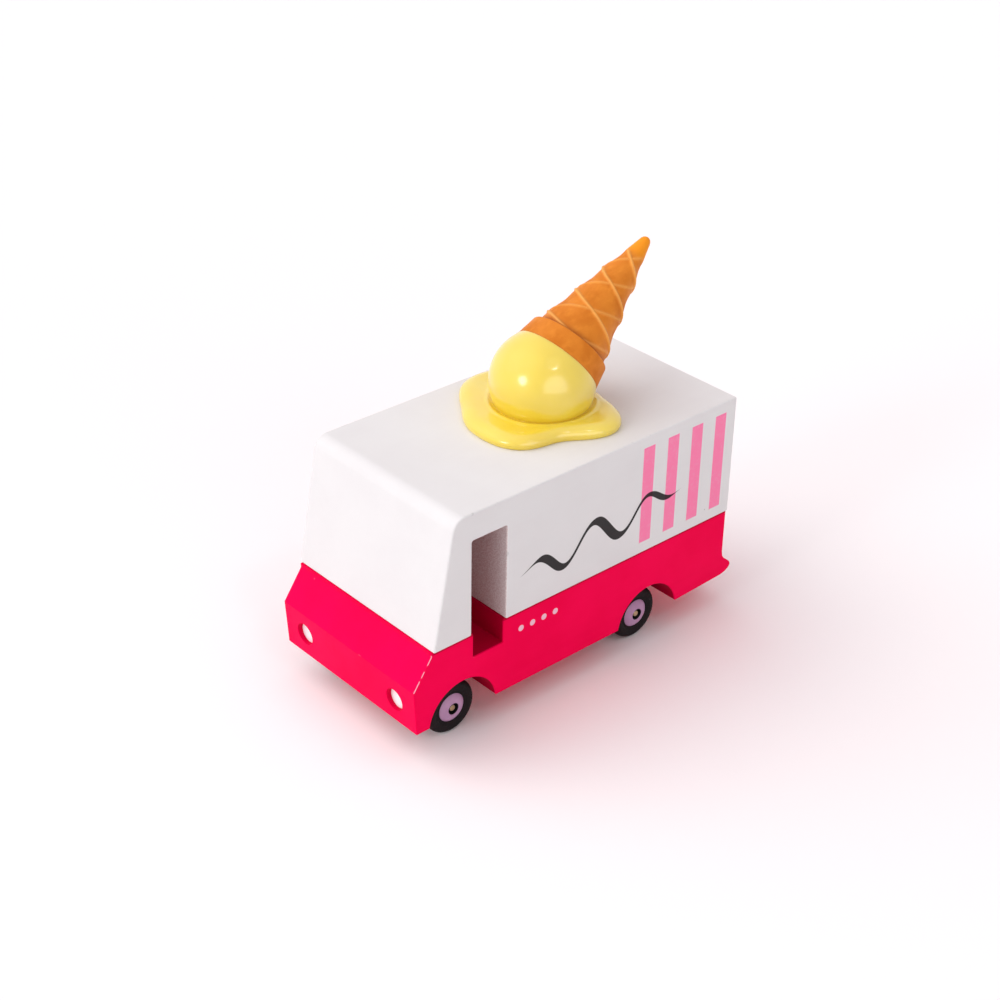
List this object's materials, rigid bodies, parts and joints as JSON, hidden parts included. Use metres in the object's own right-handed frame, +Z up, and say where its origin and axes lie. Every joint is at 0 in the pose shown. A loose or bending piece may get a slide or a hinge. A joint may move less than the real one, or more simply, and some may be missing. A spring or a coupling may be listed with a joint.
{
  "type": "toy ice cream truck",
  "caption": "Palm-size painted wooden ice cream truck with a white over red block body, sawn doorway, melted scoop with a waffle cone on the roof, and two turning axles.",
  "frame": {"origin": "on the floor under the middle of the bounding box", "axes": "+Z up, -Y towards the nose, +X towards the truck's left side"},
  "size_m": [0.0384, 0.08, 0.0734],
  "materials": {
    "red_block": "satin paint",
    "white_block": "matte paint",
    "axle_block": "satin paint",
    "headlight": "white paint",
    "melted_pool": "gloss",
    "ice_cream_ball": "gloss",
    "waffle_cone": "matte",
    "axle_pin": "bright",
    "tyre": "matte",
    "hub": "satin",
    "bush": "matte"
  },
  "bodies": {
    "truck_body": {"body_lower": "red_block", "body_upper": "white_block", "front_axle_block": "axle_block", "rear_axle_block": "axle_block", "headlight_left": "headlight", "headlight_right": "headlight", "melted_pool": "melted_pool", "ice_cream_ball": "ice_cream_ball", "waffle_cone": "waffle_cone"},
    "front_wheelset": {"front_axle": "axle_pin", "front_left_tyre": "tyre", "front_left_hub": "hub", "front_left_bush": "bush", "front_right_tyre": "tyre", "front_right_hub": "hub", "front_right_bush": "bush"},
    "rear_wheelset": {"rear_axle": "axle_pin", "rear_left_tyre": "tyre", "rear_left_hub": "hub", "rear_left_bush": "bush", "rear_right_tyre": "tyre", "rear_right_hub": "hub", "rear_right_bush": "bush"}
  },
  "joints": [
    {"name": "front_axle_spin", "type": "hinge", "parent": "truck_body", "child": "front_wheelset", "pos_m": [0, -0.0288, 0.0053], "axis": [1, 0, 0], "continuous": true},
    {"name": "rear_axle_spin", "type": "hinge", "parent": "truck_body", "child": "rear_wheelset", "pos_m": [0, 0.0171, 0.0053], "axis": [1, 0, 0], "continuous": true}
  ]
}
